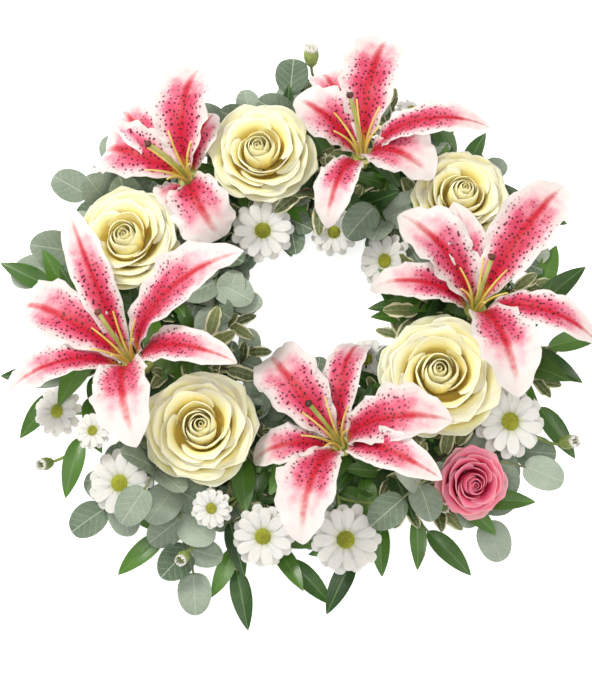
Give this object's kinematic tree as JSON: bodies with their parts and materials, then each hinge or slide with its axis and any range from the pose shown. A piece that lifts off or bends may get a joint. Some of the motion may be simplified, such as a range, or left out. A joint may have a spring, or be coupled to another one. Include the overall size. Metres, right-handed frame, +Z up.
{
  "type": "funeral wreath",
  "caption": "Ring wreath of fresh flowers: pink and white lilies, cream roses, white daisies and mixed foliage standing in wet foam in a ring tray.",
  "frame": {"origin": "on the floor, under the middle of the wreath's outline", "axes": "+Z up, +Y towards the top of the wreath in the picture, +X to the right"},
  "size_m": [0.4588, 0.451, 0.1469],
  "materials": {
    "tray": "moulded plastic, satin",
    "foam": "wet floral foam, fine open grain",
    "rose_cream": "cream petals, soft",
    "rose_pink": "pink petals, soft",
    "lily_pink": "waxy petals, white edges and pink to crimson middle with dark spots",
    "lily_green": "smooth green stem, style and filaments",
    "rose_green": "smooth green stem and sepals",
    "daisy_white": "white petals, soft",
    "daisy_green": "green stems, discs and buds",
    "eucalyptus": "grey-green leaves, waxy bloom",
    "ruscus": "dark green leaves, glossy",
    "pittosporum": "olive leaves with cream edges"
  },
  "bodies": {
    "root": {"tray": "tray", "rose_1_petals": "rose_cream", "rose_1_stem": "rose_green", "rose_2_petals": "rose_cream", "rose_2_stem": "rose_green", "rose_3_petals": "rose_cream", "rose_3_stem": "rose_green", "rose_4_petals": "rose_cream", "rose_4_stem": "rose_green", "rose_5_petals": "rose_cream", "rose_5_stem": "rose_green", "pink_rose_petals": "rose_pink", "pink_rose_stem": "rose_green", "lily_1_petals": "lily_pink", "lily_1_stem": "lily_green", "lily_2_petals": "lily_pink", "lily_2_stem": "lily_green", "lily_3_petals": "lily_pink", "lily_3_stem": "lily_green", "lily_4_petals": "lily_pink", "lily_4_stem": "lily_green", "lily_5_petals": "lily_pink", "lily_5_stem": "lily_green", "daisy_1_petals": "daisy_white", "daisy_2_petals": "daisy_white", "daisy_3_petals": "daisy_white", "daisy_spray_1_stem": "daisy_green", "daisy_4_petals": "daisy_white", "daisy_5_petals": "daisy_white", "daisy_spray_2_stem": "daisy_green", "daisy_6_petals": "daisy_white", "daisy_spray_3_stem": "daisy_green", "daisy_7_petals": "daisy_white", "daisy_spray_4_stem": "daisy_green", "daisy_8_petals": "daisy_white", "daisy_spray_5_stem": "daisy_green", "daisy_9_petals": "daisy_white", "daisy_10_petals": "daisy_white", "daisy_spray_6_stem": "daisy_green", "daisy_11_petals": "daisy_white", "daisy_spray_7_stem": "daisy_green", "daisy_12_petals": "daisy_white", "daisy_spray_8_stem": "daisy_green", "eucalyptus_1": "eucalyptus", "eucalyptus_2": "eucalyptus", "eucalyptus_3": "eucalyptus", "eucalyptus_4": "eucalyptus", "eucalyptus_5": "eucalyptus", "eucalyptus_6": "eucalyptus", "eucalyptus_7": "eucalyptus", "ruscus_1": "ruscus", "ruscus_2": "ruscus", "ruscus_3": "ruscus", "ruscus_4": "ruscus", "ruscus_5": "ruscus", "pittosporum_1": "pittosporum", "pittosporum_2": "pittosporum", "pittosporum_3": "pittosporum", "pittosporum_4": "pittosporum", "foam": "foam"}
  },
  "joints": []
}
